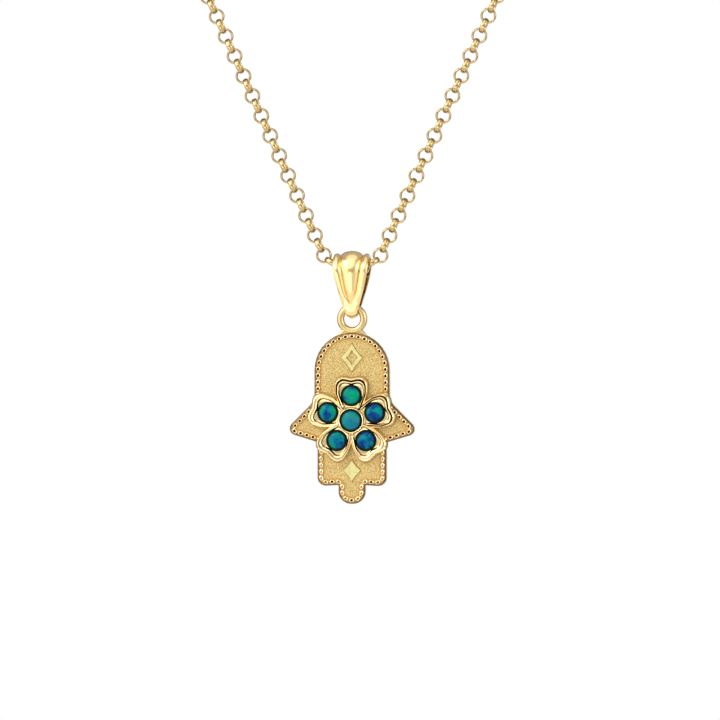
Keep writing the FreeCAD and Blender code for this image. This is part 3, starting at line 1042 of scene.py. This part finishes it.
def smooth_through(places, values, wanted):
    """Values at the wanted places on a smooth curve through the known ones."""
    slopes = np.gradient(values, places)
    found = []
    for place in wanted:
        i = min(max(int(np.searchsorted(places, place)) - 1, 0), len(places) - 2)
        gap = places[i + 1] - places[i]
        t = (place - places[i]) / gap
        found.append(
            values[i] * (1 + 2 * t) * (1 - t) ** 2
            + slopes[i] * gap * t * (1 - t) ** 2
            + values[i + 1] * t * t * (3 - 2 * t)
            + slopes[i + 1] * gap * t * t * (t - 1)
        )
    return found


def band_section(point, out, half, drop, drop_rise, side_rise, crown):
    """One section of the band: flat inside, with round edges and three ribs outside."""
    reach = half - BAIL_EDGE
    drop = min(max(drop, LEAST_DROP), reach - LEAST_SIDE)
    side_rib = []
    for i in range(RIB_POINTS):
        share = i / RIB_POINTS
        off_crest = (share - RIB_CREST) / (RIB_INNER if share > RIB_CREST else RIB_OUTER)
        side_rib.append((reach + (drop - reach) * share, side_rise * (1 - off_crest**2)))
    top = [(-x, rise) for x, rise in side_rib]
    for i in range(2 * RIB_POINTS + 1):
        across = math.cos(math.pi * i / (2 * RIB_POINTS))
        top.append((-drop * across, drop_rise * (1 - across**2) ** DROP_FULLNESS))
    top += reversed(side_rib)
    section = [(x, BAIL_WALL + rise + crown * math.sqrt(1 - (x / half) ** 2)) for x, rise in top]
    high = section[-1][1]
    edge = []
    for turn in EDGE_TURNS:
        edge.append((reach + BAIL_EDGE * math.sin(turn), high - BAIL_EDGE * (1 - math.cos(turn))))
    edge += [(half, INSIDE_UP), (half - INSIDE_IN, 0.0)]
    section += edge + [(0.0, 0.0)] + [(-x, rise) for x, rise in reversed(edge)]
    centre = Vector((0, chain_middle.y, chain_middle.z))
    return [(centre + point + Vector((x, 0, 0)) + out * rise) * MM for x, rise in section]


places = [row[0] for row in BAIL_STATIONS]
wanted = np.linspace(0, 300, BAIL_STEPS)
columns = [smooth_through(places, [row[c] for row in BAIL_STATIONS], wanted) for c in range(1, 6)]
bail_rings = []
for place, half, drop, drop_rise, side_rise, crown in zip(wanted, *columns):
    point, out = on_band(place)
    bail_rings.append(band_section(point, out, half, drop, drop_rise, side_rise, crown))
for place, half, drop, drop_rise, side_rise, crown in reversed(list(zip(wanted, *columns))[1:-1]):
    point, out = on_band(place)
    behind = Vector((0, -point.y, point.z)), Vector((0, -out.y, out.z))
    fade = 1 - BACK_RIBS * min(place / BACK_FADED, 1)
    bail_rings.append(band_section(*behind, half, drop, drop_rise * fade, side_rise * fade, crown))
bail = skinned("fluted_bail", bail_rings, ring_of_rings=True)
crisp(bail, BAIL_CRISP)
# A darker copy of the polished gold, as painted shade
bail_gold = polished_gold("bail_gold", 0.15, 0.21, painted_shade_share=0.84)
bail.data.materials.append(bail_gold)
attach(bail, "bail")
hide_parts("bail")


# Chain
# A belcher chain: round links of flattened wire, each soldered shut and turned a quarter to the next.
# It is a whole loop of 457 mm that runs through the bail and ends in the two eyes of the clasp.

LINK_RADIUS = 0.995
LINK_HALF_WIRE = 0.145
LINK_HALF_BAND = 0.32
LINK_PITCH = 1.36
V_SLOPE = 24.4
V_LINKS = 30
EYE_OUT = 3.9

# Sides round a link's ring and round its wire
FRONT_SIDES = (32, 12)
NECK_SIDES = (14, 6)

# Middles of the links inside the bail and out to the first of the straight V, right half
# Columns: x, z
BAIL_LINKS = [(0.0, -0.03), (1.31, 0.155), (2.55, 0.665), (3.56, 1.57)]

# Route of the chain round the neck, right half, after the straight V
# Columns: x, y, z
NECK_ROUTE = [
    (28.36, -88.0, -72.0),
    (46.0, -80.0, -44.0),
    (57.0, -60.0, -24.0),
    (57.0, -35.0, -10.0),
    (44.0, -13.5, -3.0),
    (22.5, -2.0, 0.0),
]


def link_tree(material):
    """A link on each point of a line, turned a quarter where the attribute edge_on says so."""
    sizes = [(label, "Float") for label in ("Ring radius", "Half wire", "Half band")]
    counts = [(label, "Int") for label in ("Ring sides", "Wire sides")]
    tree, given, add = tree_of("links_along_line", sizes + counts)
    line = add("GeometryNodeMeshToCurve", {"Mesh": given["Geometry"]})
    line = add("GeometryNodeSetCurveNormal", {"Curve": line}, mode="Z_UP")
    middle = add("ShaderNodeMath", {0: given["Ring radius"], 1: given["Half wire"]}, operation="SUBTRACT")
    circle = add("GeometryNodeCurvePrimitiveCircle", {"Resolution": given["Ring sides"], "Radius": middle})
    wire = add("GeometryNodeCurvePrimitiveCircle", {"Resolution": given["Wire sides"], "Radius": 1.0})
    flat = add("ShaderNodeCombineXYZ", {"X": given["Half wire"], "Y": given["Half band"], "Z": 1.0})
    wire = add("GeometryNodeTransform", {"Geometry": wire, "Scale": flat})
    link = add("GeometryNodeCurveToMesh", {"Curve": circle, "Profile Curve": wire})
    tangent = add("GeometryNodeInputTangent", {})
    normal = add("GeometryNodeInputNormal", {})
    across = add("ShaderNodeVectorMath", {0: tangent, 1: normal}, operation="CROSS_PRODUCT")
    quarter = add("GeometryNodeInputNamedAttribute", {"Name": "edge_on"}, data_type="BOOLEAN")
    axis = add(
        "GeometryNodeSwitch",
        {"Switch": quarter, "False": normal, "True": across},
        input_type="VECTOR",
    )
    turn = add(
        "FunctionNodeAxesToRotation",
        {"Primary Axis": axis, "Secondary Axis": tangent},
        primary_axis="Z",
        secondary_axis="X",
    )
    links = add("GeometryNodeInstanceOnPoints", {"Points": line, "Instance": link, "Rotation": turn})
    finished(tree, add, links, material)
    return tree


def string_of_links(name, runs, ring_sides, wire_sides):
    """Links on runs of points in millimetres, each point with whether its link is edge on."""
    made = line_object(name, [[Vector(p) * MM for p, _ in run] for run in runs])
    quarters = [edge_on for run in runs for _, edge_on in run]
    made.data.attributes.new("edge_on", "BOOLEAN", "POINT").data.foreach_set("value", quarters)
    grown(
        made,
        links_along_line,
        {
            "Ring radius": LINK_RADIUS * MM,
            "Half wire": LINK_HALF_WIRE * MM,
            "Half band": LINK_HALF_BAND * MM,
            "Ring sides": ring_sides,
            "Wire sides": wire_sides,
        },
    )
    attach(made, "chain")
    return made


def along_spline(route, pitch, odd):
    """Even steps of about a pitch along a smooth spline with the route as its control points.

    Odd is 1 for an odd number of steps and 0 for an even one, so that the last link is edge on.
    """
    curve = bpy.data.curves.new("neck_route", "CURVE")
    curve.dimensions = "3D"
    spline = curve.splines.new("NURBS")
    spline.points.add(len(route) - 1)
    for point, place in zip(spline.points, route):
        point.co = (*place, 1.0)
    spline.order_u = 3
    spline.use_endpoint_u = True
    spline.resolution_u = 64
    holder = bpy.data.objects.new("neck_route", curve)
    line = bpy.data.meshes.new_from_object(holder)
    points = np.array([v.co for v in line.vertices], float)
    reach = np.concatenate([[0.0], np.cumsum(np.linalg.norm(np.diff(points, axis=0), axis=1))])
    steps = 2 * round((reach[-1] / pitch - odd) / 2) + odd
    wanted = np.linspace(0, reach[-1], steps + 1)[1:]
    bpy.data.objects.remove(holder)
    return [Vector([np.interp(w, reach, points[:, axis]) for axis in range(3)]) for w in wanted]


# A darker copy of the polished gold, as painted shade
chain_gold = polished_gold("chain_gold", 0.06, 0.12, painted_shade_share=0.52)
links_along_line = link_tree(chain_gold)
half_v = [Vector((x, 0, z)) for x, z in BAIL_LINKS]
rise = Vector((math.sin(math.radians(V_SLOPE)), 0, math.cos(math.radians(V_SLOPE))))
for _ in range(V_LINKS):
    half_v.append(half_v[-1] + rise * LINK_PITCH)
half_v = [Vector((0, chain_middle.y, chain_middle.z)) + p for p in half_v]
hooked = Vector((EYE_OUT + LINK_RADIUS - LINK_HALF_WIRE, 0, 0))
neck_route = [half_v[-1]] + [Vector(row) for row in NECK_ROUTE] + [hooked]
right_neck = along_spline(neck_route, LINK_PITCH, (len(half_v) - 1) % 2)

front_run = []
for number in range(1 - len(half_v), len(half_v)):
    place = half_v[abs(number)]
    side = -1 if number < 0 else 1
    front_run.append(((side * place.x, place.y, place.z), number % 2 == 0))
neck_runs = []
for side in (1, -1):
    numbered = enumerate(right_neck, len(half_v))
    neck_runs.append([((side * p.x, p.y, p.z), number % 2 == 0) for number, p in numbered])

front_chain = string_of_links("chain_front_links", [front_run], *FRONT_SIDES)
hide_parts("chain_front")
neck_chain = string_of_links("chain_neck_links", neck_runs, *NECK_SIDES)
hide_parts("chain_left", "chain_right")


# Clasp
# A plain closed ring with two eyes, hidden at the nape, in the same polished gold. The last link of
# each side of the chain hooks in an eye.

clasp = frame["nodes"]["clasp"]
clasp.data.materials.clear()
clasp.data.materials.append(gold)


# Studio
# A pale floor well below the hanging jewel, an even room with soft bright panels and a darker side
# behind, two soft lamps, and a long lens a little to the right of the front.

FLOOR_DROP = 0.45
FLOOR_HALF = 0.8
PHOTO_PIXELS_TO_MM = 8.04
PHOTO_WIDTH = 720
PHOTO_MIDDLE = (0.98, -139.45)
CAMERA_AZIMUTH = 8.0
CAMERA_ELEVATION = 1.5
CAMERA_AWAY = 0.9
CAMERA_NEAREST = 0.01
SENSOR = 36.0

# Bright and dark parts of the room
# Columns: azimuth, elevation, full within these degrees, gone beyond these, strength added
ROOM = [
    (8, 2, 2, 6, -0.15),
    (188, -25, 40, 72, -0.44),
    (172, 0, 10, 22, 0.6),
    (-58, 12, 26, 46, 1.5),
    (70, 10, 22, 42, 1.2),
    (-8, 42, 20, 38, 1.3),
    (0, 80, 16, 34, 0.8),
    (-40, -26, 10, 22, 0.4),
    (-9, -28, 10, 25, 2.0),
    (26, -26, 8, 20, 0.4),
]
ROOM_BASE = 0.68
BACKDROP = 1.0

# Columns: name, azimuth, elevation, distance and width in metres, watts
LAMPS = [
    ("key_lamp", -50, 35, 0.8, 0.30, 2.2),
    ("fill_lamp", 60, 15, 0.9, 0.35, 1.2),
]


def direction(azimuth, elevation):
    """The way to a place round the jewel. Azimuth 0 is the front and 90 the right."""
    a, e = math.radians(azimuth), math.radians(elevation)
    return Vector((math.sin(a) * math.cos(e), -math.cos(a) * math.cos(e), math.sin(e)))


floor_z = cad_box[0].z - FLOOR_DROP
floor_signs = [(-1, -1), (1, -1), (1, 1), (-1, 1)]
floor_corners = [(x * FLOOR_HALF, y * FLOOR_HALF, floor_z) for x, y in floor_signs]
floor_mesh = bpy.data.meshes.new("floor")
floor_mesh.from_pydata(floor_corners, [], [(0, 1, 2, 3)])
floor = placed("floor", floor_mesh)
floor_paint, floor_surface = shader("floor_paint", Roughness=0.6)
floor_tones = [(0.0, (0.94, 0.94, 0.94)), (1.0, (0.97, 0.97, 0.97))]
floor_tone = ramp(floor_paint, grain(floor_paint, 3.0), floor_tones)
floor_paint.node_tree.links.new(floor_tone, floor_surface.inputs["Base Color"])
floor_mesh.materials.append(floor_paint)


def studio_room():
    """The room as the gold sees it. The camera itself sees a plain white backdrop."""
    world = bpy.data.worlds.new("studio")
    bpy.context.scene.world = world
    world.use_nodes = True
    nodes, links = world.node_tree.nodes, world.node_tree.links
    place = nodes.new("ShaderNodeTexCoord")
    total = None
    for azimuth, elevation, full, gone, strength in ROOM:
        facing = nodes.new("ShaderNodeVectorMath")
        facing.operation = "DOT_PRODUCT"
        links.new(place.outputs["Generated"], facing.inputs[0])
        facing.inputs[1].default_value = direction(azimuth, elevation)
        spot = nodes.new("ShaderNodeMapRange")
        spot.interpolation_type = "SMOOTHSTEP"
        links.new(facing.outputs["Value"], spot.inputs["Value"])
        spot.inputs["From Min"].default_value = math.cos(math.radians(gone))
        spot.inputs["From Max"].default_value = math.cos(math.radians(full))
        spot.inputs["To Max"].default_value = strength
        gathered = nodes.new("ShaderNodeMath")
        links.new(spot.outputs["Result"], gathered.inputs[0])
        if total is None:
            gathered.inputs[1].default_value = ROOM_BASE
        else:
            links.new(total, gathered.inputs[1])
        total = gathered.outputs["Value"]
    ray = nodes.new("ShaderNodeLightPath")
    seen = nodes.new("ShaderNodeMix")
    links.new(ray.outputs["Is Camera Ray"], seen.inputs["Factor"])
    links.new(total, seen.inputs["A"])
    seen.inputs["B"].default_value = BACKDROP
    background = nodes["Background"]
    background.inputs["Color"].default_value = (1.0, 1.0, 1.0, 1.0)
    links.new(seen.outputs["Result"], background.inputs["Strength"])


def soft_lamp(name, azimuth, elevation, away, wide, watts):
    """A square soft lamp that faces the jewel."""
    lamp = bpy.data.lights.new(name, "AREA")
    lamp.size = wide
    lamp.energy = watts
    holder = placed(name, lamp)
    way = direction(azimuth, elevation)
    holder.location = jewel_middle + way * away
    holder.rotation_euler = way.to_track_quat("Z", "Y").to_euler()


jewel_middle = Vector((PHOTO_MIDDLE[0], chain_middle.y, PHOTO_MIDDLE[1])) * MM
studio_room()
for row in LAMPS:
    soft_lamp(*row)

camera_data = bpy.data.cameras.new("camera")
camera = placed("camera", camera_data)
away = direction(CAMERA_AZIMUTH, CAMERA_ELEVATION)
camera.location = jewel_middle + away * CAMERA_AWAY
camera.rotation_euler = away.to_track_quat("Z", "Y").to_euler()
camera_data.sensor_width = SENSOR
camera_data.lens = SENSOR * CAMERA_AWAY / (PHOTO_WIDTH / PHOTO_PIXELS_TO_MM * MM)
camera_data.clip_start = CAMERA_NEAREST
bpy.context.scene.camera = camera
bpy.context.scene.view_settings.view_transform = "Standard"
